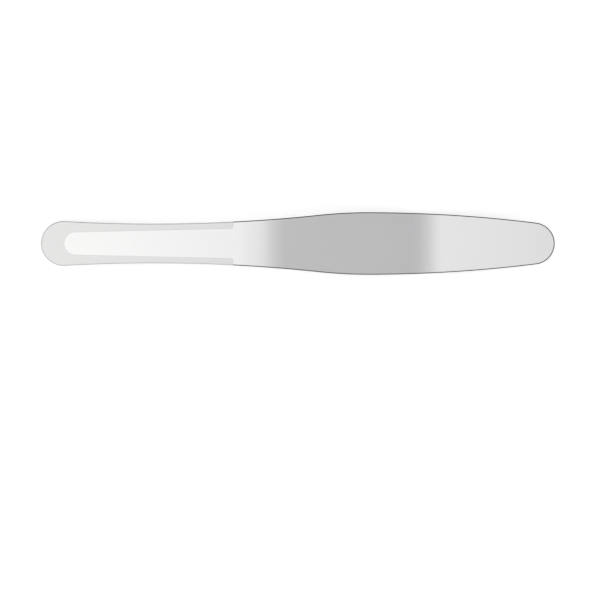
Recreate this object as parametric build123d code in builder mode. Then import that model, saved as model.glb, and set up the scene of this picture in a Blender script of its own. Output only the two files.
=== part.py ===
"""Angled metal tongue depressor, one plate of satin stainless steel.

The plate is drawn in its own frame: X runs from the handle's end to the blade's tip, Y across the width,
and Z up from the underside of the blade, the face that presses the tongue. Two bends lift the handle above
the blade. A side profile and a plan outline, each extruded, meet in the finished form.

That frame is then tilted, because on a table the plate comes to rest on its second bend and its handle.
The part's origin is the bottom centre of the box round the resting plate.
"""
from build123d import *
from math import asin, atan, atan2, cos, sin, tan
import os

# Places along the plate, from the handle's end
overall_length = 165.0
first_bend_position = 70.5
second_bend_position = 122.9

# Side profile, with the handle's underside this far above the blade's
handle_height = 19.9
plate_thickness = 4.2
handle_end_thickness = 3.9
blade_tip_thickness = 3.5
first_bend_inner_radius = 36.5
second_bend_inner_radius = 29.0

# The underside rises towards the handle's end, which is thinner
end_taper_length = 7.4
end_taper_rise = 1.35
end_taper_round = 12.0

# Plan outline
waist_width = 12.8
waist_position = 36.0
blade_width = 20.1
blade_widest_position = 105.0
shoulder_radius = 150.0
tip_radius = 6.75

# Flat border, sunk round three sides of the handle's raised panel
border_depth = 0.4
border_length = 61.7
panel_start = 7.4
panel_end_radius = 3.65
panel_width = 9.6
border_corner_radius = 0.6

# Rounded edges: the border's end wall has to hold the upper, and the handle's end wall has to hold both
lower_edge_radius = 1.6
upper_edge_radius = 0.35
upper_round = min(upper_edge_radius, 0.9 * border_depth)
end_wall = handle_end_thickness - border_depth - end_taper_rise
lower_round = min(lower_edge_radius, 0.95 * (end_wall - upper_round))

# How far an extruded solid or a cut runs past the finished form
spare = plate_thickness

# Corners of the side profile, before its bends are rounded
slope_angle = atan(handle_height / (second_bend_position - first_bend_position))
taper_angle = atan(end_taper_rise / end_taper_length)
bend_shift = plate_thickness * tan(slope_angle / 2)
nose_under = Vector(0, handle_height + end_taper_rise)
taper_start = Vector(end_taper_length, handle_height)
first_bend_under = Vector(first_bend_position, handle_height)
second_bend_under = Vector(second_bend_position, 0)
tip_under = Vector(overall_length, 0)
tip_top = Vector(overall_length, blade_tip_thickness)
second_bend_top = Vector(second_bend_position + bend_shift, plate_thickness)
first_bend_top = Vector(first_bend_position + bend_shift, handle_height + plate_thickness)
nose_top = Vector(0, handle_height + handle_end_thickness)
first_bend_outer_radius = first_bend_inner_radius + plate_thickness
second_bend_outer_radius = second_bend_inner_radius + plate_thickness

# Centres of the rounds that can touch the table
taper_round_centre = Vector(
    end_taper_length + end_taper_round * tan(taper_angle / 2),
    handle_height + end_taper_round,
)
nose_round_centre = Vector(
    lower_round,
    nose_under.Y - lower_round * tan(taper_angle) + lower_round / cos(taper_angle),
)
second_bend_centre = Vector(
    second_bend_position + second_bend_outer_radius * tan(slope_angle / 2),
    second_bend_outer_radius,
)


def lean_on(centre, radius):
    """How far the plate tips before a table under its second bend also touches this round."""
    reach = second_bend_centre - centre
    return asin((second_bend_outer_radius - radius) / reach.length) - atan2(reach.Y, reach.X)


tilt = min(lean_on(taper_round_centre, end_taper_round), lean_on(nose_round_centre, lower_round))
tipped = Plane(origin=(0, 0, 0), x_dir=(cos(tilt), 0, sin(tilt)), z_dir=(-sin(tilt), 0, cos(tilt)))


def when_tipped(x, z):
    """Where a point of the side profile lies once the plate is tipped about its own origin."""
    return tipped.from_local_coords(Vector(x, 0, z))


# Once tipped, the plate ends on its edge rounds, and the table lies under the second bend
end_round_height = nose_top.Y - border_depth - upper_round
left_end = when_tipped(upper_round, end_round_height).X - upper_round
right_end = when_tipped(overall_length - lower_round, lower_round).X + lower_round
table = when_tipped(second_bend_centre.X, second_bend_centre.Y).Z - second_bend_outer_radius
plate_origin = Vector(-(left_end + right_end) / 2, 0, -table)
plan_plane = Plane(origin=plate_origin, x_dir=tipped.x_dir, z_dir=tipped.z_dir)
side_plane = Plane(origin=plate_origin, x_dir=tipped.x_dir, z_dir=-tipped.y_dir)

# The handle's top face falls a little towards its thinner end
handle_top_angle = atan2(first_bend_top.Y - nose_top.Y, first_bend_top.X)
handle_top = Plane(
    origin=side_plane.from_local_coords(nose_top),
    x_dir=tipped.x_dir * cos(handle_top_angle) + tipped.z_dir * sin(handle_top_angle),
    z_dir=tipped.z_dir * cos(handle_top_angle) - tipped.x_dir * sin(handle_top_angle),
)

# The plan outline's five arcs a side meet without a corner, so the other radii follow from the sizes
waist = waist_width / 2
crest = blade_width / 2
neck_reach = blade_widest_position - waist_position
neck_radius = (neck_reach**2 + (crest - waist) ** 2) / (2 * (crest - waist)) - shoulder_radius
handle_end_radius = waist_position**2 + waist**2 + 2 * waist * neck_radius
handle_end_radius /= 2 * (neck_radius + waist_position)
blade_reach = overall_length - blade_widest_position
blade_side_radius = crest**2 + blade_reach**2 - 2 * blade_reach * tip_radius
blade_side_radius /= 2 * (crest - tip_radius)
handle_end_centre = Vector(handle_end_radius, 0)
neck_centre = Vector(waist_position, waist + neck_radius)
shoulder_centre = Vector(blade_widest_position, crest - shoulder_radius)
blade_side_centre = Vector(blade_widest_position, crest - blade_side_radius)
tip_centre = Vector(overall_length - tip_radius, 0)


def past(start, end):
    """The point in line with two others that lies the spare length past the second."""
    return end + (end - start).normalized() * spare


def towards(centre, other, distance):
    """The point at this distance from one centre, on the line that runs towards another."""
    return centre + (other - centre).normalized() * distance


def faces_up(face):
    """Whether a face is part of the plate's top."""
    return face.normal_at().dot(plan_plane.z_dir) > 0.5


def faces_down(face):
    """Whether a face is part of the plate's underside."""
    return face.normal_at().dot(plan_plane.z_dir) < -0.5


def is_outer_wall(face):
    """Whether a face is one of the upright walls that the plan outline made."""
    if face.geom_type != GeomType.CYLINDER or faces_up(face) or faces_down(face):
        return False
    return face.radius > panel_end_radius


with BuildPart() as tongue_depressor:
    # The bent plate seen from the side, wider and longer than the finished form
    with BuildSketch(side_plane):
        with BuildLine():
            Polyline(
                past(taper_start, nose_under),
                taper_start,
                first_bend_under,
                second_bend_under,
                past(second_bend_under, tip_under),
                past(second_bend_top, tip_top),
                second_bend_top,
                first_bend_top,
                past(first_bend_top, nose_top),
                close=True,
            )
        make_face()
        fillet(vertices().sort_by_distance(taper_start)[0], end_taper_round)
        fillet(vertices().sort_by_distance(first_bend_under)[0], first_bend_inner_radius)
        fillet(vertices().sort_by_distance(first_bend_top)[0], first_bend_outer_radius)
        fillet(vertices().sort_by_distance(second_bend_under)[0], second_bend_outer_radius)
        fillet(vertices().sort_by_distance(second_bend_top)[0], second_bend_inner_radius)
    extrude(amount=blade_width, both=True)

    # The plan outline trims it: round end, waisted neck, shoulder, blade side and round tip
    with BuildSketch(plan_plane):
        with BuildLine():
            neck_start = towards(handle_end_centre, neck_centre, handle_end_radius)
            shoulder_start = towards(neck_centre, shoulder_centre, neck_radius)
            widest = (blade_widest_position, crest)
            tip_start = towards(blade_side_centre, tip_centre, blade_side_radius)
            RadiusArc((0, 0), neck_start, handle_end_radius)
            RadiusArc(neck_start, shoulder_start, -neck_radius)
            RadiusArc(shoulder_start, widest, shoulder_radius)
            RadiusArc(widest, tip_start, blade_side_radius)
            RadiusArc(tip_start, (overall_length, 0), tip_radius)
            mirror(about=Plane.XZ)
        make_face()
    extrude(amount=handle_height + plate_thickness + spare, both=True, mode=Mode.INTERSECT)

    # The border is milled down round the panel, which keeps the plate's full height
    with BuildSketch(handle_top.offset(-border_depth)) as border:
        with Locations(((border_length - spare) / 2, 0)):
            Rectangle(border_length + spare, blade_width)
        with BuildLine() as panel:
            CenterArc((panel_start + panel_end_radius, 0), panel_end_radius, 0, 360)
            Line((border_length, -panel_width / 2), (border_length, panel_width / 2))
        make_hull(panel.edges(), mode=Mode.SUBTRACT)
        band_ends = border.vertices().group_by(Axis.X)[-1]
        fillet(band_ends.sort_by(lambda corner: abs(corner.Y))[:2], border_corner_radius)
    extrude(amount=border_depth + spare, mode=Mode.SUBTRACT)

    # A small round eases the upper edge, of the border and of all that lies past it
    outer_edges = faces().filter_by(is_outer_wall).edges()
    top_edges = faces().filter_by(faces_up).edges()
    fillet(top_edges.filter_by(lambda edge: edge in outer_edges), upper_round)

    # One generous round runs along the whole lower edge
    fillet(faces().filter_by(faces_down).edges().filter_by(Axis.Y, reverse=True), lower_round)

os.makedirs("parts", exist_ok=True)
tongue_depressor.part.label = "tongue_depressor"
export_step(tongue_depressor.part, "parts/tongue_depressor.step")
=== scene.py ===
"""Looks of an angled metal tongue depressor: one bent plate of satin stainless steel on a white table."""
import math

import bpy
from mathutils import Matrix, Vector


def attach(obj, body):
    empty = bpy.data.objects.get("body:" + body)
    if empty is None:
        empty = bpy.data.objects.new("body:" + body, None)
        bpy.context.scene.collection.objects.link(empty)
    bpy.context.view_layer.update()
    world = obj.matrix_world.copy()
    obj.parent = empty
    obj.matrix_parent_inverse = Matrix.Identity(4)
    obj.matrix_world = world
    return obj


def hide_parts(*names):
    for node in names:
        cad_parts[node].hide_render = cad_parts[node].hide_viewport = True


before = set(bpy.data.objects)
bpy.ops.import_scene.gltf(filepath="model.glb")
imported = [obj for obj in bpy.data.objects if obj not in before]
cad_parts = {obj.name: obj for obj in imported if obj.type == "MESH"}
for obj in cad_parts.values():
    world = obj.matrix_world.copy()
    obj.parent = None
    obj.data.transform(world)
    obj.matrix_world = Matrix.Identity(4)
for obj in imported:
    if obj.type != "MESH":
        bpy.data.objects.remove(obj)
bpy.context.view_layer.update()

# The plate
# The whole instrument is one stainless steel blank, cut to its outline and pressed into two bends, so that
# the blade lies below the handle. A border is then milled down round the handle's panel, and the edges are
# rounded. Sizes are in millimetres: X runs from the handle's end and Z up from the blade's underside.
overall_length = 165.0
first_bend_position = 70.5
second_bend_position = 122.9
handle_height = 19.9
plate_thickness = 4.2
handle_end_thickness = 3.9
blade_tip_thickness = 3.5
first_bend_inner_radius = 36.5
second_bend_inner_radius = 29.0
end_taper_length = 7.4
end_taper_rise = 1.35
end_taper_round = 12.0
waist_width = 12.8
waist_position = 36.0
blade_width = 20.1
blade_widest_position = 105.0
shoulder_radius = 150.0
tip_radius = 6.75
border_depth = 0.4
border_length = 61.7
border_corner_radius = 0.6
panel_start = 7.4
panel_end_radius = 3.65
panel_width = 9.6
lower_edge_radius = 1.6
upper_edge_radius = 0.35

# The mill leaves the step a little sloped, and that slope is this wide
border_step_width = 0.05


def add(tree, kind, settings=None, inputs=None):
    """Adds a node, with its settings and with a value or a link for each named or numbered input."""
    made = tree.nodes.new(kind)
    for key, value in (settings or {}).items():
        setattr(made, key, value)
    for key, value in (inputs or {}).items():
        if isinstance(value, bpy.types.NodeSocket):
            tree.links.new(value, made.inputs[key])
        else:
            made.inputs[key].default_value = value
    return made


def start_tree(name, inputs, outputs):
    """Starts a tree with its named inputs and outputs, and gives it with the sockets at its two ends."""
    kinds = {"number": "NodeSocketFloat", "count": "NodeSocketInt", "vector": "NodeSocketVector"}
    kinds.update({"geometry": "NodeSocketGeometry", "material": "NodeSocketMaterial"})
    tree = bpy.data.node_groups.new(name, "GeometryNodeTree")
    for label, kind in inputs.items():
        tree.interface.new_socket(name=label, in_out="INPUT", socket_type=kinds[kind])
    for label, kind in outputs.items():
        tree.interface.new_socket(name=label, in_out="OUTPUT", socket_type=kinds[kind])
    return tree, tree.nodes.new("NodeGroupInput").outputs, tree.nodes.new("NodeGroupOutput").inputs


# One bend of a face, seen from the side: a straight run, an arc and the next straight run. The radius is
# positive where the arc's centre lies above the face, and a face moved down by an offset adds to it.
bend_tree, given, result = start_tree(
    "plate_bend",
    {"X": "number", "Offset": "number", "Centre": "vector", "Radius": "number",
     "Heading Before": "number", "Heading After": "number"},
    {"Height": "number", "Normal": "vector"},
)
radius = add(bend_tree, "ShaderNodeMath", {"operation": "ADD"}, {0: given["Radius"], 1: given["Offset"]})
centre = add(bend_tree, "ShaderNodeSeparateXYZ", inputs={0: given["Centre"]})
reach = add(bend_tree, "ShaderNodeMath", {"operation": "SUBTRACT"}, {
    0: given["X"], 1: centre.outputs["X"],
})
free_sine = add(bend_tree, "ShaderNodeMath", {"operation": "DIVIDE"}, {
    0: reach.outputs[0], 1: radius.outputs[0],
})
sine_before = add(bend_tree, "ShaderNodeMath", {"operation": "SINE"}, {0: given["Heading Before"]})
sine_after = add(bend_tree, "ShaderNodeMath", {"operation": "SINE"}, {0: given["Heading After"]})
sine = add(bend_tree, "ShaderNodeClamp", {"clamp_type": "RANGE"}, {
    "Value": free_sine.outputs[0], "Min": sine_before.outputs[0], "Max": sine_after.outputs[0],
})
heading = add(bend_tree, "ShaderNodeMath", {"operation": "ARCSINE"}, {0: sine.outputs[0]})
cosine = add(bend_tree, "ShaderNodeMath", {"operation": "COSINE"}, {0: heading.outputs[0]})
slope = add(bend_tree, "ShaderNodeMath", {"operation": "TANGENT"}, {0: heading.outputs[0]})
arc_reach = add(bend_tree, "ShaderNodeMath", {"operation": "MULTIPLY"}, {
    0: radius.outputs[0], 1: sine.outputs[0],
})
arc_drop = add(bend_tree, "ShaderNodeMath", {"operation": "MULTIPLY"}, {
    0: radius.outputs[0], 1: cosine.outputs[0],
})
arc_height = add(bend_tree, "ShaderNodeMath", {"operation": "SUBTRACT"}, {
    0: centre.outputs["Z"], 1: arc_drop.outputs[0],
})
straight = add(bend_tree, "ShaderNodeMath", {"operation": "SUBTRACT"}, {
    0: reach.outputs[0], 1: arc_reach.outputs[0],
})
height = add(bend_tree, "ShaderNodeMath", {"operation": "MULTIPLY_ADD"}, {
    0: straight.outputs[0], 1: slope.outputs[0], 2: arc_height.outputs[0],
})
back = add(bend_tree, "ShaderNodeMath", {"operation": "MULTIPLY"}, {0: sine.outputs[0], 1: -1.0})
normal = add(bend_tree, "ShaderNodeCombineXYZ", inputs={"X": back.outputs[0], "Z": cosine.outputs[0]})
bend_tree.links.new(height.outputs[0], result["Height"])
bend_tree.links.new(normal.outputs[0], result["Normal"])

# A whole face, top or underside: three bends in a row, each used up to a place on the run after it
face_sizes = {f"Centre {number}": "vector" for number in (1, 2, 3)}
face_sizes.update({f"Radius {number}": "number" for number in (1, 2, 3)})
face_sizes.update({f"Heading {number}": "number" for number in (1, 2, 3, 4)})
face_sizes.update({f"Change {number}": "number" for number in (1, 2)})
face_tree, given, result = start_tree(
    "plate_face",
    {"X": "number", "Offset": "number", **face_sizes},
    {"Height": "number", "Normal": "vector"},
)
height = None
normal = None
for number in (3, 2, 1):
    turn = add(face_tree, "GeometryNodeGroup", {"node_tree": bend_tree}, {
        "X": given["X"], "Offset": given["Offset"],
        "Centre": given[f"Centre {number}"], "Radius": given[f"Radius {number}"],
        "Heading Before": given[f"Heading {number}"], "Heading After": given[f"Heading {number + 1}"],
    })
    if number == 3:
        height = turn.outputs["Height"]
        normal = turn.outputs["Normal"]
        continue
    nearer = add(face_tree, "ShaderNodeMath", {"operation": "LESS_THAN"}, {
        0: given["X"], 1: given[f"Change {number}"],
    })
    height = add(face_tree, "GeometryNodeSwitch", {"input_type": "FLOAT"}, {
        "Switch": nearer.outputs[0], "False": height, "True": turn.outputs["Height"],
    }).outputs[0]
    normal = add(face_tree, "GeometryNodeSwitch", {"input_type": "VECTOR"}, {
        "Switch": nearer.outputs[0], "False": normal, "True": turn.outputs["Normal"],
    }).outputs[0]
face_tree.links.new(height, result["Height"])
face_tree.links.new(normal, result["Normal"])

# The round of an edge: a ball's surface, from where it touches one face to where it touches the next
round_tree, given, result = start_tree(
    "edge_round",
    {"Centre": "vector", "Radius": "number", "From": "vector", "To": "vector", "Share": "number"},
    {"Position": "vector"},
)
axis = add(round_tree, "ShaderNodeVectorMath", {"operation": "CROSS_PRODUCT"}, {
    0: given["From"], 1: given["To"],
})
likeness = add(round_tree, "ShaderNodeVectorMath", {"operation": "DOT_PRODUCT"}, {
    0: given["From"], 1: given["To"],
})
corner = add(round_tree, "ShaderNodeMath", {"operation": "ARCCOSINE"}, {0: likeness.outputs["Value"]})
turned = add(round_tree, "ShaderNodeMath", {"operation": "MULTIPLY"}, {
    0: corner.outputs[0], 1: given["Share"],
})
facing = add(round_tree, "ShaderNodeVectorRotate", {"rotation_type": "AXIS_ANGLE"}, {
    "Vector": given["From"], "Axis": axis.outputs[0], "Angle": turned.outputs[0],
})
on_ball = add(round_tree, "ShaderNodeVectorMath", {"operation": "MULTIPLY_ADD"}, {
    0: facing.outputs[0], 1: given["Radius"], 2: given["Centre"],
})
round_tree.links.new(on_ball.outputs[0], result["Position"])

# One arc of the plan outline. It takes the place, facing and distance left over from the arc before it,
# goes along its own length at most, and hands all three on, so that arcs in a row meet without a corner.
arc_tree, given, result = start_tree(
    "outline_arc",
    {"Place": "vector", "Facing": "number", "Distance": "number", "Length": "number", "Radius": "number"},
    {"Place": "vector", "Facing": "number", "Distance": "number"},
)
travelled = add(arc_tree, "ShaderNodeClamp", inputs={
    "Value": given["Distance"], "Min": 0.0, "Max": given["Length"],
})
turned = add(arc_tree, "ShaderNodeMath", {"operation": "DIVIDE"}, {
    0: travelled.outputs[0], 1: given["Radius"],
})
facing = add(arc_tree, "ShaderNodeMath", {"operation": "SUBTRACT"}, {
    0: given["Facing"], 1: turned.outputs[0],
})
spoke_before = add(arc_tree, "ShaderNodeVectorRotate", {"rotation_type": "Z_AXIS"}, {
    "Vector": (1.0, 0.0, 0.0), "Angle": given["Facing"],
})
spoke_after = add(arc_tree, "ShaderNodeVectorRotate", {"rotation_type": "Z_AXIS"}, {
    "Vector": (1.0, 0.0, 0.0), "Angle": facing.outputs[0],
})
swing = add(arc_tree, "ShaderNodeVectorMath", {"operation": "SUBTRACT"}, {
    0: spoke_after.outputs[0], 1: spoke_before.outputs[0],
})
place = add(arc_tree, "ShaderNodeVectorMath", {"operation": "MULTIPLY_ADD"}, {
    0: swing.outputs[0], 1: given["Radius"], 2: given["Place"],
})
left_over = add(arc_tree, "ShaderNodeMath", {"operation": "SUBTRACT"}, {
    0: given["Distance"], 1: given["Length"],
})
arc_tree.links.new(place.outputs[0], result["Place"])
arc_tree.links.new(facing.outputs[0], result["Facing"])
arc_tree.links.new(left_over.outputs[0], result["Distance"])

# One stretch of the outline with stations at an even spacing, chained in the same way
stretch_tree, given, result = start_tree(
    "station_stretch",
    {"Station": "number", "Distance": "number", "Count": "number", "Spacing": "number"},
    {"Station": "number", "Distance": "number"},
)
passed = add(stretch_tree, "ShaderNodeClamp", inputs={
    "Value": given["Station"], "Min": 0.0, "Max": given["Count"],
})
distance = add(stretch_tree, "ShaderNodeMath", {"operation": "MULTIPLY_ADD"}, {
    0: passed.outputs[0], 1: given["Spacing"], 2: given["Distance"],
})
left_over = add(stretch_tree, "ShaderNodeMath", {"operation": "SUBTRACT"}, {
    0: given["Station"], 1: given["Count"],
})
stretch_tree.links.new(distance.outputs[0], result["Distance"])
stretch_tree.links.new(left_over.outputs[0], result["Station"])


def bend(corner, before, after, bend_radius):
    """A bend's centre and signed radius, from the corner it rounds and the headings of its two runs."""
    side = math.copysign(1.0, after - before)
    run = Vector((math.cos(before), math.sin(before)))
    upwards = Vector((-math.sin(before), math.cos(before)))
    arc_start = corner - run * bend_radius * math.tan(abs(after - before) / 2)
    arc_centre = arc_start + upwards * side * bend_radius
    return (arc_centre.x, 0.0, arc_centre.y), side * bend_radius


slope_angle = math.atan(handle_height / (second_bend_position - first_bend_position))
bend_shift = plate_thickness * math.tan(slope_angle / 2)
nose_top = Vector((0.0, handle_height + handle_end_thickness))
first_bend_top = Vector((first_bend_position + bend_shift, handle_height + plate_thickness))
second_bend_top = Vector((second_bend_position + bend_shift, plate_thickness))
taper_start = Vector((end_taper_length, handle_height))
first_bend_under = Vector((first_bend_position, handle_height))
second_bend_under = Vector((second_bend_position, 0.0))
taper_heading = -math.atan(end_taper_rise / end_taper_length)
handle_top_heading = math.atan((first_bend_top.y - nose_top.y) / first_bend_top.x)
blade_top_run = overall_length - second_bend_top.x
blade_top_heading = math.atan((blade_tip_thickness - plate_thickness) / blade_top_run)
top_headings = [handle_top_heading, handle_top_heading, -slope_angle, blade_top_heading]
under_headings = [taper_heading, 0.0, -slope_angle, 0.0]

# The top has no end taper, so its first bend turns by nothing
top_bends = [
    (nose_top, end_taper_round),
    (first_bend_top, first_bend_inner_radius + plate_thickness),
    (second_bend_top, second_bend_inner_radius),
]
under_bends = [
    (taper_start, end_taper_round),
    (first_bend_under, first_bend_inner_radius),
    (second_bend_under, second_bend_inner_radius + plate_thickness),
]

# The plan outline's other radii follow from its sizes, because its five arcs a side meet without a corner
waist = waist_width / 2
crest = blade_width / 2
neck_reach = blade_widest_position - waist_position
neck_radius = (neck_reach**2 + (crest - waist) ** 2) / (2 * (crest - waist)) - shoulder_radius
handle_end_radius = waist_position**2 + waist**2 + 2 * waist * neck_radius
handle_end_radius /= 2 * (neck_radius + waist_position)
blade_reach = overall_length - blade_widest_position
blade_side_radius = crest**2 + blade_reach**2 - 2 * blade_reach * tip_radius
blade_side_radius /= 2 * (crest - tip_radius)
handle_end_facing = math.atan2(waist + neck_radius, waist_position - handle_end_radius)
neck_end_facing = math.pi - math.atan2(waist + neck_radius - crest + shoulder_radius, neck_reach)
blade_end_facing = math.atan2(blade_side_radius - crest, blade_reach - tip_radius)
outline_arcs = {
    "Handle End": (handle_end_radius, math.pi - handle_end_facing),
    "Neck": (-neck_radius, handle_end_facing - neck_end_facing),
    "Shoulder": (shoulder_radius, neck_end_facing - math.pi / 2),
    "Blade Side": (blade_side_radius, math.pi / 2 - blade_end_facing),
    "Tip": (tip_radius, blade_end_facing),
}

# The panel's sides are tangent to its round end and spread a little towards the first bend
panel_end_centre = panel_start + panel_end_radius
panel_reach = border_length - panel_end_centre
panel_spread = math.atan((panel_width / 2) / panel_reach)
panel_spread -= math.asin(panel_end_radius / math.hypot(panel_reach, panel_width / 2))

# Stations lie close together where the border ends, and further apart along the rest of the outline
outline_length = sum(arc_radius * sweep for arc_radius, sweep in outline_arcs.values())
border_end_facing = math.acos((waist_position - border_length) / neck_radius)
border_end_distance = handle_end_radius * (math.pi - handle_end_facing)
border_end_distance += neck_radius * (border_end_facing - handle_end_facing)
close_start = border_end_distance - border_corner_radius - border_step_width
close_end = border_end_distance + border_step_width
wide_spacing = 0.3
close_spacing = 0.04
stretches = []
for length, wanted in (
    (close_start, wide_spacing),
    (close_end - close_start, close_spacing),
    (outline_length - close_end, wide_spacing),
):
    count = math.ceil(length / wanted)
    stretches.append((count, length / count))

rows_a_strip = 8
plate_sizes = {
    "Rows a Strip": ("count", rows_a_strip),
    "Last Station": ("count", sum(count for count, spacing in stretches)),
    "Panel End Centre": ("number", panel_end_centre),
    "Panel End Radius": ("number", panel_end_radius),
    "Panel Spread": ("number", panel_spread),
    "Border Length": ("number", border_length),
    "Border Depth": ("number", border_depth),
    "Border Corner Radius": ("number", border_corner_radius),
    "Border Step Width": ("number", border_step_width),
    "Tip Centre": ("number", overall_length - tip_radius),
    "Upper Edge Radius": ("number", upper_edge_radius),
    "Lower Edge Radius": ("number", lower_edge_radius),
}
for name, (arc_radius, sweep) in outline_arcs.items():
    plate_sizes[f"{name} Radius"] = ("number", arc_radius)
    plate_sizes[f"{name} Length"] = ("number", arc_radius * sweep)
for number, (count, spacing) in enumerate(stretches, 1):
    plate_sizes[f"Stretch {number} Count"] = ("number", float(count))
    plate_sizes[f"Stretch {number} Spacing"] = ("number", spacing)
for face, bends, headings in (("Top", top_bends, top_headings), ("Under", under_bends, under_headings)):
    for number, (corner_point, bend_radius) in enumerate(bends, 1):
        arc_centre, arc_radius = bend(corner_point, headings[number - 1], headings[number], bend_radius)
        plate_sizes[f"{face} Centre {number}"] = ("vector", arc_centre)
        plate_sizes[f"{face} Radius {number}"] = ("number", arc_radius)
    for number, angle in enumerate(headings, 1):
        plate_sizes[f"{face} Heading {number}"] = ("number", angle)
    plate_sizes[f"{face} Change 1"] = ("number", first_bend_position / 2)
    plate_sizes[f"{face} Change 2"] = ("number", (first_bend_position + second_bend_position) / 2)

# The plate itself. Stations go once round the outline, from tip to tip, and at each one rows of points go
# round the section in strips. The wall needs none, because it joins the upper round to the lower one.
panel_strip = 0
step_strip = 1
border_strip = 2
upper_round_strip = 3
lower_round_strip = 4
underside_strip = 5
plate_tree, given, result = start_tree(
    "bent_plate",
    {**{name: kind for name, (kind, value) in plate_sizes.items()}, "Steel": "material"},
    {"Plate": "geometry"},
)
stations = add(plate_tree, "FunctionNodeIntegerMath", {"operation": "MULTIPLY_ADD"}, {
    0: given["Last Station"], 1: 2, 2: 1,
})
rows = add(plate_tree, "FunctionNodeIntegerMath", {"operation": "MULTIPLY"}, {
    0: given["Rows a Strip"], 1: underside_strip + 1,
})
grid = add(plate_tree, "GeometryNodeMeshGrid", inputs={
    "Vertices X": stations.outputs[0], "Vertices Y": rows.outputs[0],
})
index = add(plate_tree, "GeometryNodeInputIndex")
station = add(plate_tree, "FunctionNodeIntegerMath", {"operation": "DIVIDE_FLOOR"}, {
    0: index.outputs[0], 1: rows.outputs[0],
})
row = add(plate_tree, "FunctionNodeIntegerMath", {"operation": "MODULO"}, {
    0: index.outputs[0], 1: rows.outputs[0],
})
from_nose = add(plate_tree, "FunctionNodeIntegerMath", {"operation": "SUBTRACT"}, {
    0: station.outputs[0], 1: given["Last Station"],
})
side = add(plate_tree, "FunctionNodeIntegerMath", {"operation": "SIGN"}, {0: from_nose.outputs[0]})
step_from_nose = add(plate_tree, "FunctionNodeIntegerMath", {"operation": "ABSOLUTE"}, {
    0: from_nose.outputs[0],
})
strip = add(plate_tree, "FunctionNodeIntegerMath", {"operation": "DIVIDE_FLOOR"}, {
    0: row.outputs[0], 1: given["Rows a Strip"],
})
row_in_strip = add(plate_tree, "FunctionNodeIntegerMath", {"operation": "MODULO"}, {
    0: row.outputs[0], 1: given["Rows a Strip"],
})
last_row = add(plate_tree, "FunctionNodeIntegerMath", {"operation": "SUBTRACT"}, {
    0: given["Rows a Strip"], 1: 1,
})
share = add(plate_tree, "ShaderNodeMath", {"operation": "DIVIDE"}, {
    0: row_in_strip.outputs[0], 1: last_row.outputs[0],
})
section_place = add(plate_tree, "ShaderNodeMath", {"operation": "ADD"}, {
    0: strip.outputs[0], 1: share.outputs[0],
})

# Where the station lies on the outline, and which way the edge faces there
left_over = step_from_nose.outputs[0]
distance = 0.0
for number in (1, 2, 3):
    stretch = add(plate_tree, "GeometryNodeGroup", {"node_tree": stretch_tree}, {
        "Station": left_over, "Distance": distance,
        "Count": given[f"Stretch {number} Count"], "Spacing": given[f"Stretch {number} Spacing"],
    })
    left_over = stretch.outputs["Station"]
    distance = stretch.outputs["Distance"]
edge = (0.0, 0.0, 0.0)
edge_facing = math.pi
for name in outline_arcs:
    arc = add(plate_tree, "GeometryNodeGroup", {"node_tree": arc_tree}, {
        "Place": edge, "Facing": edge_facing, "Distance": distance,
        "Length": given[f"{name} Length"], "Radius": given[f"{name} Radius"],
    })
    edge = arc.outputs["Place"]
    edge_facing = arc.outputs["Facing"]
    distance = arc.outputs["Distance"]
outwards = add(plate_tree, "ShaderNodeVectorRotate", {"rotation_type": "Z_AXIS"}, {
    "Vector": (1.0, 0.0, 0.0), "Angle": edge_facing,
})

# The balls that round the two edges roll along inside the wall, each touching the wall and its own face
half_step = add(plate_tree, "ShaderNodeMath", {"operation": "MULTIPLY"}, {
    0: given["Border Step Width"], 1: 0.5,
})
top_sizes = {size: given[f"Top {size}"] for size in face_sizes}
under_sizes = {size: given[f"Under {size}"] for size in face_sizes}


def border_drop(x):
    """How far the border lies below the plate's full height at this place along it."""
    before_end = add(plate_tree, "ShaderNodeMath", {"operation": "SUBTRACT"}, {
        0: given["Border Length"], 1: x,
    })
    past_step = add(plate_tree, "ShaderNodeMath", {"operation": "MULTIPLY"}, {
        0: half_step.outputs[0], 1: -1.0,
    })
    return add(plate_tree, "ShaderNodeMapRange", {"interpolation_type": "SMOOTHSTEP"}, {
        "Value": before_end.outputs[0], "From Min": past_step.outputs[0], "From Max": half_step.outputs[0],
        "To Min": 0.0, "To Max": given["Border Depth"],
    }).outputs[0]


upper_inset = add(plate_tree, "ShaderNodeMath", {"operation": "MULTIPLY"}, {
    0: given["Upper Edge Radius"], 1: -1.0,
})
upper_plan = add(plate_tree, "ShaderNodeVectorMath", {"operation": "MULTIPLY_ADD"}, {
    0: outwards.outputs[0], 1: upper_inset.outputs[0], 2: edge,
})
upper_x = add(plate_tree, "ShaderNodeSeparateXYZ", inputs={0: upper_plan.outputs[0]})
upper_depth = add(plate_tree, "ShaderNodeMath", {"operation": "ADD"}, {
    0: border_drop(upper_x.outputs["X"]), 1: given["Upper Edge Radius"],
})
upper_face = add(plate_tree, "GeometryNodeGroup", {"node_tree": face_tree}, {
    "X": upper_x.outputs["X"], "Offset": upper_depth.outputs[0], **top_sizes,
})
upper_rise = add(plate_tree, "ShaderNodeCombineXYZ", inputs={"Z": upper_face.outputs["Height"]})
upper_ball = add(plate_tree, "ShaderNodeVectorMath", {"operation": "ADD"}, {
    0: upper_plan.outputs[0], 1: upper_rise.outputs[0],
})
upper_round = add(plate_tree, "GeometryNodeGroup", {"node_tree": round_tree}, {
    "Centre": upper_ball.outputs[0], "Radius": given["Upper Edge Radius"],
    "From": upper_face.outputs["Normal"], "To": outwards.outputs[0], "Share": share.outputs[0],
})
lower_inset = add(plate_tree, "ShaderNodeMath", {"operation": "MULTIPLY"}, {
    0: given["Lower Edge Radius"], 1: -1.0,
})
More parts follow.
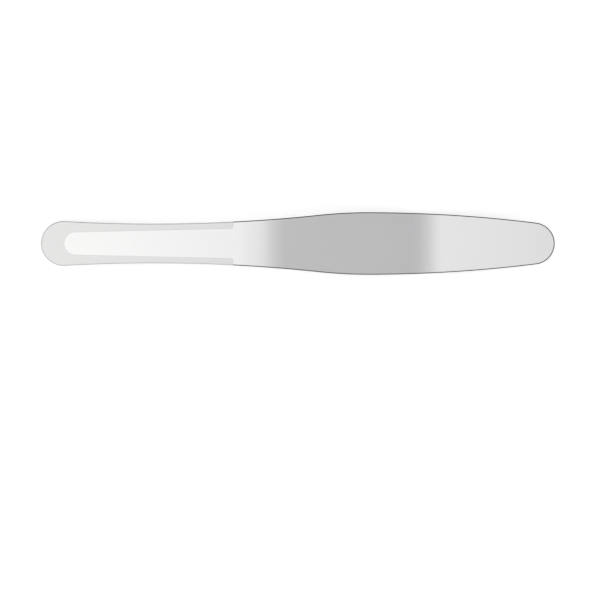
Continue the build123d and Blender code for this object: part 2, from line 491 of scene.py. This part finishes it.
lower_plan = add(plate_tree, "ShaderNodeVectorMath", {"operation": "MULTIPLY_ADD"}, {
    0: outwards.outputs[0], 1: lower_inset.outputs[0], 2: edge,
})
lower_x = add(plate_tree, "ShaderNodeSeparateXYZ", inputs={0: lower_plan.outputs[0]})
lower_face = add(plate_tree, "GeometryNodeGroup", {"node_tree": face_tree}, {
    "X": lower_x.outputs["X"], "Offset": lower_inset.outputs[0], **under_sizes,
})
lower_rise = add(plate_tree, "ShaderNodeCombineXYZ", inputs={"Z": lower_face.outputs["Height"]})
lower_ball = add(plate_tree, "ShaderNodeVectorMath", {"operation": "ADD"}, {
    0: lower_plan.outputs[0], 1: lower_rise.outputs[0],
})
downwards = add(plate_tree, "ShaderNodeVectorMath", {"operation": "SCALE"}, {
    0: lower_face.outputs["Normal"], "Scale": -1.0,
})
lower_round = add(plate_tree, "GeometryNodeGroup", {"node_tree": round_tree}, {
    "Centre": lower_ball.outputs[0], "Radius": given["Lower Edge Radius"],
    "From": outwards.outputs[0], "To": downwards.outputs[0], "Share": share.outputs[0],
})

# The top: from the centreline out over the panel and its step to the border, and on to the upper round
edge_parts = add(plate_tree, "ShaderNodeSeparateXYZ", inputs={0: edge})
spine_x = add(plate_tree, "ShaderNodeClamp", inputs={
    "Value": edge_parts.outputs["X"], "Min": given["Panel End Centre"], "Max": given["Tip Centre"],
})
spine = add(plate_tree, "ShaderNodeCombineXYZ", inputs={"X": spine_x.outputs[0]})
to_edge = add(plate_tree, "ShaderNodeVectorMath", {"operation": "SUBTRACT"}, {
    0: edge, 1: spine.outputs[0],
})
ray = add(plate_tree, "ShaderNodeVectorMath", {"operation": "NORMALIZE"}, {0: to_edge.outputs[0]})
ray_length = add(plate_tree, "ShaderNodeVectorMath", {"operation": "LENGTH"}, {0: to_edge.outputs[0]})
spread_cosine = add(plate_tree, "ShaderNodeMath", {"operation": "COSINE"}, {0: given["Panel Spread"]})
spread_slope = add(plate_tree, "ShaderNodeMath", {"operation": "TANGENT"}, {0: given["Panel Spread"]})
panel_half = add(plate_tree, "ShaderNodeMath", {"operation": "DIVIDE"}, {
    0: given["Panel End Radius"], 1: spread_cosine.outputs[0],
})
past_panel_end = add(plate_tree, "ShaderNodeMath", {"operation": "SUBTRACT"}, {
    0: spine_x.outputs[0], 1: given["Panel End Centre"],
})
panel_edge = add(plate_tree, "ShaderNodeMath", {"operation": "MULTIPLY_ADD"}, {
    0: past_panel_end.outputs[0], 1: spread_slope.outputs[0], 2: panel_half.outputs[0],
})
flare_start = add(plate_tree, "ShaderNodeMath", {"operation": "SUBTRACT"}, {
    0: given["Border Length"], 1: given["Border Corner Radius"],
})
into_flare = add(plate_tree, "ShaderNodeMath", {"operation": "SUBTRACT"}, {
    0: spine_x.outputs[0], 1: flare_start.outputs[0],
})
flare_leg = add(plate_tree, "ShaderNodeClamp", inputs={
    "Value": into_flare.outputs[0], "Min": 0.0, "Max": given["Border Corner Radius"],
})
flare_share = add(plate_tree, "ShaderNodeMath", {"operation": "DIVIDE"}, {
    0: flare_leg.outputs[0], 1: given["Border Corner Radius"],
})
flare_angle = add(plate_tree, "ShaderNodeMath", {"operation": "ARCSINE"}, {0: flare_share.outputs[0]})
flare_cosine = add(plate_tree, "ShaderNodeMath", {"operation": "COSINE"}, {0: flare_angle.outputs[0]})
flare_rise = add(plate_tree, "ShaderNodeMath", {"operation": "SUBTRACT"}, {
    0: 1.0, 1: flare_cosine.outputs[0],
})
flared_edge = add(plate_tree, "ShaderNodeMath", {"operation": "MULTIPLY_ADD"}, {
    0: flare_rise.outputs[0], 1: given["Border Corner Radius"], 2: panel_edge.outputs[0],
})

# Past the border these strips go on as plain top, and take up at most this share of the way to the edge
most_panel_share = 0.8
most_reach = add(plate_tree, "ShaderNodeMath", {"operation": "MULTIPLY"}, {
    0: ray_length.outputs["Value"], 1: most_panel_share,
})
step_reach = add(plate_tree, "ShaderNodeMath", {"operation": "MINIMUM"}, {
    0: flared_edge.outputs[0], 1: most_reach.outputs[0],
})
flat_reach = add(plate_tree, "ShaderNodeMath", {"operation": "SUBTRACT"}, {
    0: step_reach.outputs[0], 1: half_step.outputs[0],
})
over_panel = add(plate_tree, "ShaderNodeMapRange", inputs={
    "Value": section_place.outputs[0], "From Min": panel_strip, "From Max": step_strip,
    "To Min": 0.0, "To Max": flat_reach.outputs[0],
})
over_step = add(plate_tree, "ShaderNodeMapRange", inputs={
    "Value": section_place.outputs[0], "From Min": step_strip, "From Max": border_strip,
    "To Min": 0.0, "To Max": given["Border Step Width"],
})
reach = add(plate_tree, "ShaderNodeMath", {"operation": "ADD"}, {
    0: over_panel.outputs[0], 1: over_step.outputs[0],
})
near_plan = add(plate_tree, "ShaderNodeVectorMath", {"operation": "MULTIPLY_ADD"}, {
    0: ray.outputs[0], 1: reach.outputs[0], 2: spine.outputs[0],
})
round_start = add(plate_tree, "ShaderNodeVectorMath", {"operation": "MULTIPLY_ADD"}, {
    0: upper_face.outputs["Normal"], 1: given["Upper Edge Radius"], 2: upper_ball.outputs[0],
})
over_border = add(plate_tree, "ShaderNodeMapRange", inputs={
    "Value": section_place.outputs[0], "From Min": border_strip, "From Max": upper_round_strip,
    "To Min": 0.0, "To Max": 1.0,
})
top_plan = add(plate_tree, "ShaderNodeMix", {"data_type": "VECTOR"}, {
    0: over_border.outputs[0], 4: near_plan.outputs[0], 5: round_start.outputs[0],
})
top_parts = add(plate_tree, "ShaderNodeSeparateXYZ", inputs={0: top_plan.outputs[1]})
lowered = add(plate_tree, "ShaderNodeMapRange", {"interpolation_type": "SMOOTHSTEP"}, {
    "Value": section_place.outputs[0], "From Min": step_strip, "From Max": border_strip,
    "To Min": 0.0, "To Max": 1.0,
})
top_depth = add(plate_tree, "ShaderNodeMath", {"operation": "MULTIPLY"}, {
    0: border_drop(top_parts.outputs["X"]), 1: lowered.outputs[0],
})
top_face = add(plate_tree, "GeometryNodeGroup", {"node_tree": face_tree}, {
    "X": top_parts.outputs["X"], "Offset": top_depth.outputs[0], **top_sizes,
})
top_point = add(plate_tree, "ShaderNodeCombineXYZ", inputs={
    "X": top_parts.outputs["X"], "Y": top_parts.outputs["Y"], "Z": top_face.outputs["Height"],
})

# The underside: from the lower round back to the centreline
round_end = add(plate_tree, "ShaderNodeVectorMath", {"operation": "MULTIPLY_ADD"}, {
    0: downwards.outputs[0], 1: given["Lower Edge Radius"], 2: lower_ball.outputs[0],
})
under_plan = add(plate_tree, "ShaderNodeMix", {"data_type": "VECTOR"}, {
    0: share.outputs[0], 4: round_end.outputs[0], 5: spine.outputs[0],
})
under_parts = add(plate_tree, "ShaderNodeSeparateXYZ", inputs={0: under_plan.outputs[1]})
under_face = add(plate_tree, "GeometryNodeGroup", {"node_tree": face_tree}, {
    "X": under_parts.outputs["X"], "Offset": 0.0, **under_sizes,
})
under_point = add(plate_tree, "ShaderNodeCombineXYZ", inputs={
    "X": under_parts.outputs["X"], "Y": under_parts.outputs["Y"], "Z": under_face.outputs["Height"],
})

# Each strip takes its own points, and the stations before the handle's end go on the other side
picked = plate_tree.nodes.new("GeometryNodeIndexSwitch")
picked.data_type = "VECTOR"
strip_points = [top_point.outputs[0]] * upper_round_strip
strip_points += [upper_round.outputs[0], lower_round.outputs[0], under_point.outputs[0]]
while len(picked.index_switch_items) < len(strip_points):
    picked.index_switch_items.new()
plate_tree.links.new(strip.outputs[0], picked.inputs["Index"])
for number, point in enumerate(strip_points):
    plate_tree.links.new(point, picked.inputs[str(number)])
sides = add(plate_tree, "ShaderNodeCombineXYZ", inputs={"X": 1.0, "Y": side.outputs[0], "Z": 1.0})
sided = add(plate_tree, "ShaderNodeVectorMath", {"operation": "MULTIPLY"}, {
    0: picked.outputs[0], 1: sides.outputs[0],
})
formed = add(plate_tree, "GeometryNodeSetPosition", inputs={
    "Geometry": grid.outputs["Mesh"], "Position": sided.outputs[0],
})

# Two marks tell the steel how it was finished: "milled" on the border, and a second mark on both edges, which
# are burnished smoother and painted dark grey. The dark is painted reflection and shade, standing in for the
# dark surroundings and the shaded table that the rounds mirror. It is painted weaker on the border's thinner
# edge than on the rest, and weaker on the lower edge than the upper.
finished_share = add(plate_tree, "ShaderNodeMapRange", {"interpolation_type": "SMOOTHSTEP"}, {
    "Value": section_place.outputs[0], "From Min": upper_round_strip, "From Max": lower_round_strip,
    "To Min": 1.0, "To Max": 0.0,
})
border_share = add(plate_tree, "ShaderNodeMath", {"operation": "MULTIPLY"}, {
    0: lowered.outputs[0], 1: finished_share.outputs[0],
})
formed_x = add(plate_tree, "ShaderNodeSeparateXYZ", inputs={0: picked.outputs[0]})
formed_drop = add(plate_tree, "ShaderNodeMath", {"operation": "DIVIDE"}, {
    0: border_drop(formed_x.outputs["X"]), 1: given["Border Depth"],
})
milled = add(plate_tree, "ShaderNodeMath", {"operation": "MULTIPLY"}, {
    0: border_share.outputs[0], 1: formed_drop.outputs[0],
})
on_points = {"data_type": "FLOAT", "domain": "POINT"}
marked = add(plate_tree, "GeometryNodeStoreNamedAttribute", on_points, {
    "Geometry": formed.outputs[0], "Name": "milled", "Value": milled.outputs[0],
})

# The burnished and painted dark bands start and end at these places in the strips, where 1 is a strip's whole
# width
edge_band_fade = 0.2
onto_edge = add(plate_tree, "ShaderNodeMapRange", {"interpolation_type": "SMOOTHSTEP"}, {
    "Value": section_place.outputs[0],
    "From Min": upper_round_strip, "From Max": upper_round_strip + edge_band_fade, "To Min": 0.0, "To Max": 1.0,
})
off_edge = add(plate_tree, "ShaderNodeMapRange", {"interpolation_type": "SMOOTHSTEP"}, {
    "Value": section_place.outputs[0],
    "From Min": lower_round_strip - edge_band_fade, "From Max": lower_round_strip, "To Min": 1.0, "To Max": 0.0,
})
on_edge = add(plate_tree, "ShaderNodeMath", {"operation": "MULTIPLY"}, {
    0: onto_edge.outputs[0], 1: off_edge.outputs[0],
})
border_burnish_and_dark_paint = 0.28
cut_back = add(plate_tree, "ShaderNodeMapRange", inputs={
    "Value": formed_drop.outputs[0],
    "From Min": 0.0, "From Max": 1.0, "To Min": 1.0, "To Max": border_burnish_and_dark_paint,
})
on_upper_edge = add(plate_tree, "ShaderNodeMath", {"operation": "MULTIPLY"}, {
    0: on_edge.outputs[0], 1: cut_back.outputs[0],
})
# On the lower edge the band is burnished and painted dark, as painted shade of the shadowed table that the
# lower round mirrors
lower_burnish_and_painted_shade = 0.85
lower_band_start = lower_round_strip + 0.3
lower_band_full = lower_round_strip + 0.8
lower_band_end = lower_round_strip + 0.85
onto_lower_edge = add(plate_tree, "ShaderNodeMapRange", {"interpolation_type": "SMOOTHSTEP"}, {
    "Value": section_place.outputs[0],
    "From Min": lower_band_start, "From Max": lower_band_full, "To Min": 0.0, "To Max": lower_burnish_and_painted_shade,
})
off_lower_edge = add(plate_tree, "ShaderNodeMapRange", {"interpolation_type": "SMOOTHSTEP"}, {
    "Value": section_place.outputs[0],
    "From Min": lower_band_end, "From Max": underside_strip, "To Min": 1.0, "To Max": 0.0,
})
burnish_and_painted_dark_edge = add(plate_tree, "ShaderNodeMath", {"operation": "MULTIPLY_ADD"}, {
    0: onto_lower_edge.outputs[0], 1: off_lower_edge.outputs[0], 2: on_upper_edge.outputs[0],
})
marked_twice = add(plate_tree, "GeometryNodeStoreNamedAttribute", on_points, {
    "Geometry": marked.outputs[0], "Name": "burnish_and_painted_dark_edge", "Value": burnish_and_painted_dark_edge.outputs[0],
})

# Points that strips and stations share become one, and only the step's two edges stay crisp
same_point_distance = 0.001
crisp_angle = math.radians(30.0)
merged = add(plate_tree, "GeometryNodeMergeByDistance", inputs={
    "Geometry": marked_twice.outputs[0], "Distance": same_point_distance,
})
smooth = add(plate_tree, "GeometryNodeSetShadeSmooth", inputs={"Geometry": merged.outputs[0]})
edge_angle = add(plate_tree, "GeometryNodeInputMeshEdgeAngle")
crisp = add(plate_tree, "ShaderNodeMath", {"operation": "GREATER_THAN"}, {
    0: edge_angle.outputs["Unsigned Angle"], 1: crisp_angle,
})
step_crisp = add(plate_tree, "GeometryNodeSetShadeSmooth", {"domain": "EDGE"}, {
    "Geometry": smooth.outputs[0], "Selection": crisp.outputs[0], "Shade Smooth": False,
})

# At rest the plate lies tilted, on its second bend and its handle's end. The solid's mesh has small flats
# where the plate is round, so the smooth plate is drawn a hair under full size.
mm = 0.001
rest_tilt = math.radians(9.5138)
plate_zero = Vector((-79.3367, 0.0, -20.8638)) * mm
fit = 0.9998
fit_lift = Vector((0.0, 0.0, 0.002 * mm))
placed = add(plate_tree, "GeometryNodeTransform", inputs={
    "Geometry": step_crisp.outputs[0], "Translation": plate_zero * fit + fit_lift,
    "Rotation": (0.0, -rest_tilt, 0.0), "Scale": (mm * fit, mm * fit, mm * fit),
})
realized = add(plate_tree, "GeometryNodeRealizeInstances", inputs={0: placed.outputs[0]})
dressed = add(plate_tree, "GeometryNodeSetMaterial", inputs={
    "Geometry": realized.outputs[0], "Material": given["Steel"],
})
plate_tree.links.new(dressed.outputs[0], result["Plate"])


def linear(hex_colour):
    """A colour written as sRGB hex, turned to the linear values that shaders work in."""
    channels = [int(hex_colour[i:i + 2], 16) / 255 for i in (1, 3, 5)]
    curved = [c / 12.92 if c <= 0.04045 else ((c + 0.055) / 1.055) ** 2.4 for c in channels]
    return (*curved, 1.0)


# Satin stainless steel, blasted with fine glass beads: an even grey-white sheen with no mirror image in it.
# The bead marks are about 0.05 mm across, too fine to show, so the grain is drawn at about 0.4 mm. The milled
# border is a shade greyer and duller. Both edges are burnished smoother and painted dark grey along a thin
# line
# each: a painted reflection of the dark surroundings and shaded table that the rounded edges mirror.
satin_grey = "#DEDEDE"
milled_grey = "#CFCFCF"
# The dark edge grey is painted reflection and shade, not the steel's own colour
painted_dark_edge_grey = "#383838"
satin_roughness = 0.2
worn_satin_roughness = 0.24
milled_roughness = 0.28
burnished_roughness = 0.12
grains_per_mm = 2.5
worn_patches_per_mm = 0.06
grain_depth = 0.05 * mm
steel = bpy.data.materials.new("stainless_steel_satin")
steel.use_nodes = True
steel.node_tree.nodes.clear()
place_mm = add(steel.node_tree, "ShaderNodeMapping", inputs={
    "Vector": add(steel.node_tree, "ShaderNodeTexCoord").outputs["Object"],
    "Rotation": (0.0, rest_tilt, 0.0), "Scale": (1 / mm, 1 / mm, 1 / mm),
})
bead_marks = add(steel.node_tree, "ShaderNodeTexNoise", inputs={
    "Vector": place_mm.outputs[0], "Scale": grains_per_mm, "Detail": 2.0, "Roughness": 0.6,
})
handling = add(steel.node_tree, "ShaderNodeTexNoise", inputs={
    "Vector": place_mm.outputs[0], "Scale": worn_patches_per_mm, "Detail": 3.0, "Roughness": 0.5,
})
milled_mark = add(steel.node_tree, "ShaderNodeAttribute", {"attribute_name": "milled"})
burnish_and_painted_dark_mark = add(steel.node_tree, "ShaderNodeAttribute", {"attribute_name": "burnish_and_painted_dark_edge"})
satin = add(steel.node_tree, "ShaderNodeMapRange", inputs={
    "Value": handling.outputs["Fac"], "From Min": 0.3, "From Max": 0.7,
    "To Min": satin_roughness, "To Max": worn_satin_roughness,
})
with_border = add(steel.node_tree, "ShaderNodeMix", inputs={
    0: milled_mark.outputs["Fac"], 2: satin.outputs[0], 3: milled_roughness,
})
with_edges = add(steel.node_tree, "ShaderNodeMix", inputs={
    0: burnish_and_painted_dark_mark.outputs["Fac"], 2: with_border.outputs[0], 3: burnished_roughness,
})
grain = add(steel.node_tree, "ShaderNodeBump", inputs={
    "Height": bead_marks.outputs["Fac"], "Strength": 0.04, "Distance": grain_depth,
})
border_tone = add(steel.node_tree, "ShaderNodeMix", {"data_type": "RGBA"}, {
    0: milled_mark.outputs["Fac"], 6: linear(satin_grey), 7: linear(milled_grey),
})
# Here the edges are painted dark, as painted reflection and shade
painted_dark_edge_tone = add(steel.node_tree, "ShaderNodeMix", {"data_type": "RGBA"}, {
    0: burnish_and_painted_dark_mark.outputs["Fac"], 6: border_tone.outputs[2], 7: linear(painted_dark_edge_grey),
})
surface = add(steel.node_tree, "ShaderNodeBsdfPrincipled", inputs={
    "Base Color": painted_dark_edge_tone.outputs[2], "Metallic": 1.0, "Roughness": with_edges.outputs[0],
    "Normal": grain.outputs[0],
})
add(steel.node_tree, "ShaderNodeOutputMaterial", inputs={"Surface": surface.outputs["BSDF"]})

# The tree forms the plate once, and the piece keeps the plain mesh that comes out
plate_former = bpy.data.objects.new("plate_former", bpy.data.meshes.new("plate_former"))
bpy.context.scene.collection.objects.link(plate_former)
forming = plate_former.modifiers.new("bent_plate", "NODES")
forming.node_group = plate_tree
tree_sockets = plate_tree.interface.items_tree
identifiers = {socket.name: socket.identifier for socket in tree_sockets if socket.in_out == "INPUT"}
for name, (kind, value) in plate_sizes.items():
    forming[identifiers[name]] = value
forming[identifiers["Steel"]] = steel
former_now = plate_former.evaluated_get(bpy.context.evaluated_depsgraph_get())
plate_mesh = bpy.data.meshes.new_from_object(former_now)
plate_mesh.name = "steel_plate"
bpy.data.objects.remove(plate_former)
plate = bpy.data.objects.new("steel_plate", plate_mesh)
bpy.context.scene.collection.objects.link(plate)
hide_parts("tongue_depressor")
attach(plate, "root")

# The camera
# It looks down square to the plate's own flat faces, as the photo's upper figure does. That figure shows
# no perspective, so the lens is orthographic, as wide as the plate's length in the picture asks for.
along = Vector((math.cos(rest_tilt), 0.0, math.sin(rest_tilt)))
across = Vector((0.0, 1.0, 0.0))
outward = Vector((-math.sin(rest_tilt), 0.0, math.cos(rest_tilt)))
camera_distance = 600 * mm
picture_px = 600
plate_length_px = 513.8
plate_left_px = 41.0
centreline_px = 243.5
pixel = overall_length / plate_length_px * mm
aim = plate_zero + along * ((picture_px / 2 - plate_left_px) * pixel)
aim = aim - across * ((picture_px / 2 - centreline_px) * pixel)
camera_data = bpy.data.cameras.new("overhead")
camera_data.type = "ORTHO"
camera_data.ortho_scale = picture_px * pixel
camera = bpy.data.objects.new("overhead", camera_data)
bpy.context.scene.collection.objects.link(camera)
turned = Matrix((along, across, outward)).transposed().to_4x4()
camera.matrix_world = Matrix.Translation(aim + outward * camera_distance) @ turned
bpy.context.scene.camera = camera

# The table
# The depressor lies on a plain table top painted matt white, which runs on past the picture on every side.
# A little glow, seen only by the camera and in mirror images, makes up what its paint lacks to full white.
table_width = 3000 * mm
table_lift = 0.44
table_paint = "#E2E2E2"
bpy.ops.mesh.primitive_plane_add(size=table_width)
table = bpy.context.object
table.name = "table"
table_white = bpy.data.materials.new("table_white_paint")
table_white.use_nodes = True
table_white.node_tree.nodes.clear()
ray_kind = add(table_white.node_tree, "ShaderNodeLightPath")
seen_or_mirrored = add(table_white.node_tree, "ShaderNodeMath", {"operation": "MAXIMUM"}, {
    0: ray_kind.outputs["Is Camera Ray"], 1: ray_kind.outputs["Is Glossy Ray"],
})
seen = add(table_white.node_tree, "ShaderNodeMath", {"operation": "MAXIMUM"}, {
    0: seen_or_mirrored.outputs[0], 1: ray_kind.outputs["Is Transmission Ray"],
})
lift = add(table_white.node_tree, "ShaderNodeMath", {"operation": "MULTIPLY"}, {
    0: seen.outputs[0], 1: table_lift,
})
matt = add(table_white.node_tree, "ShaderNodeBsdfDiffuse", inputs={"Color": linear(table_paint)})
glowing = add(table_white.node_tree, "ShaderNodeEmission", inputs={
    "Color": linear("#FFFFFF"), "Strength": lift.outputs[0],
})
lifted = add(table_white.node_tree, "ShaderNodeAddShader", inputs={
    0: matt.outputs[0], 1: glowing.outputs[0],
})
add(table_white.node_tree, "ShaderNodeOutputMaterial", inputs={"Surface": lifted.outputs[0]})
table.data.materials.append(table_white)

# The soft box
# A lamp behind a wide cloth hangs close over the plate. The cloth is brightest where the handle's end
# mirrors it and dimmest where the slope between the bends does, which gives each flat face its own tone.
# Each glow is named for what mirrors it, and gives its place along the box and its strength there.
box_height = 280 * mm
box_left = -300 * mm
box_right = 300 * mm
box_near = -180 * mm
box_far = 140 * mm
box_left_glow = (box_left, 0.97)
handle_end_glow = (-125 * mm, 1.34)
handle_bend_glow = (-65 * mm, 1.17)
blade_glow = (40 * mm, 1.055)
bends_glow = (70 * mm, 0.9)
slope_glow = (155 * mm, 0.7)
box_right_glow = (box_right, 0.67)
full_glow = 2.0
warm_white = "#FFFEFC"
cool_white = "#FCFCFF"
soft_box_mesh = bpy.data.meshes.new("soft_box")
soft_box_mesh.from_pydata(
    [
        (box_left, box_near, box_height),
        (box_left, box_far, box_height),
        (box_right, box_far, box_height),
        (box_right, box_near, box_height),
    ],
    [],
    [(0, 1, 2, 3)],
)
soft_box = bpy.data.objects.new("soft_box", soft_box_mesh)
bpy.context.scene.collection.objects.link(soft_box)
soft_box.visible_camera = False
cloth = bpy.data.materials.new("soft_box_cloth")
cloth.use_nodes = True
cloth.node_tree.nodes.clear()
box_place = add(cloth.node_tree, "ShaderNodeSeparateXYZ", inputs={
    0: add(cloth.node_tree, "ShaderNodeTexCoord").outputs["Object"],
})
box_share = add(cloth.node_tree, "ShaderNodeMapRange", inputs={
    "Value": box_place.outputs["X"], "From Min": box_left, "From Max": box_right,
    "To Min": 0.0, "To Max": 1.0,
})
glow = add(cloth.node_tree, "ShaderNodeFloatCurve", inputs={"Factor": 1.0, "Value": box_share.outputs[0]})
glow_places = (
    box_left_glow, handle_end_glow, handle_bend_glow, blade_glow, bends_glow, slope_glow, box_right_glow,
)
glow_curve = glow.mapping.curves[0]
while len(glow_curve.points) < len(glow_places):
    glow_curve.points.new(0.5, 0.5)
for point, (x, strength) in zip(glow_curve.points, glow_places):
    point.location = ((x - box_left) / (box_right - box_left), strength / full_glow)
glow.mapping.update()
box_strength = add(cloth.node_tree, "ShaderNodeMath", {"operation": "MULTIPLY"}, {
    0: glow.outputs[0], 1: full_glow,
})
box_tint = add(cloth.node_tree, "ShaderNodeMix", {"data_type": "RGBA"}, {
    0: box_share.outputs[0], 6: linear(warm_white), 7: linear(cool_white),
})
shining = add(cloth.node_tree, "ShaderNodeEmission", inputs={
    "Color": box_tint.outputs[2], "Strength": box_strength.outputs[0],
})
add(cloth.node_tree, "ShaderNodeOutputMaterial", inputs={"Surface": shining.outputs[0]})
soft_box.data.materials.append(cloth)

# The screen
# A screen stands past the far edge and glows, dimmer towards the table and brighter towards the top: painted
# light standing in for a grey canvas lit from above. Faces that mirror it turn a shade darker towards the
# table, which shows that the plate is metal.
screen_left = -400 * mm
screen_right = 400 * mm
screen_low = 20 * mm
screen_high = 260 * mm
screen_distance = 260 * mm
screen_low_glow = 0.2
screen_high_glow = 0.75
screen_mesh = bpy.data.meshes.new("screen")
screen_mesh.from_pydata(
    [
        (screen_left, screen_distance, screen_low),
        (screen_right, screen_distance, screen_low),
        (screen_right, screen_distance, screen_high),
        (screen_left, screen_distance, screen_high),
    ],
    [],
    [(0, 1, 2, 3)],
)
screen = bpy.data.objects.new("screen", screen_mesh)
bpy.context.scene.collection.objects.link(screen)
screen.visible_camera = False
screen_glow_material = bpy.data.materials.new("screen_painted_glow")
screen_glow_material.use_nodes = True
screen_glow_material.node_tree.nodes.clear()
screen_place = add(screen_glow_material.node_tree, "ShaderNodeSeparateXYZ", inputs={
    0: add(screen_glow_material.node_tree, "ShaderNodeTexCoord").outputs["Object"],
})
# The screen's glow is painted brighter towards the top, as if lit from above
screen_strength = add(screen_glow_material.node_tree, "ShaderNodeMapRange", inputs={
    "Value": screen_place.outputs["Z"], "From Min": screen_low, "From Max": screen_high,
    "To Min": screen_low_glow, "To Max": screen_high_glow,
})
screen_light = add(screen_glow_material.node_tree, "ShaderNodeEmission", inputs={
    "Color": linear("#FFFFFF"), "Strength": screen_strength.outputs[0],
})
add(screen_glow_material.node_tree, "ShaderNodeOutputMaterial", inputs={"Surface": screen_light.outputs[0]})
screen.data.materials.append(screen_glow_material)

# The room
# The walls and the ceiling are painted plain white and lit alike, so they light the plate evenly from all
# round, and they are what lies past the table in a low view.
room = bpy.data.worlds.new("white_room")
bpy.context.scene.world = room
room.use_nodes = True
room.node_tree.nodes.clear()
walls = add(room.node_tree, "ShaderNodeBackground", inputs={"Color": linear("#FFFFFF"), "Strength": 1.0})
add(room.node_tree, "ShaderNodeOutputWorld", inputs={"Surface": walls.outputs[0]})

bpy.context.scene.view_settings.view_transform = "Standard"
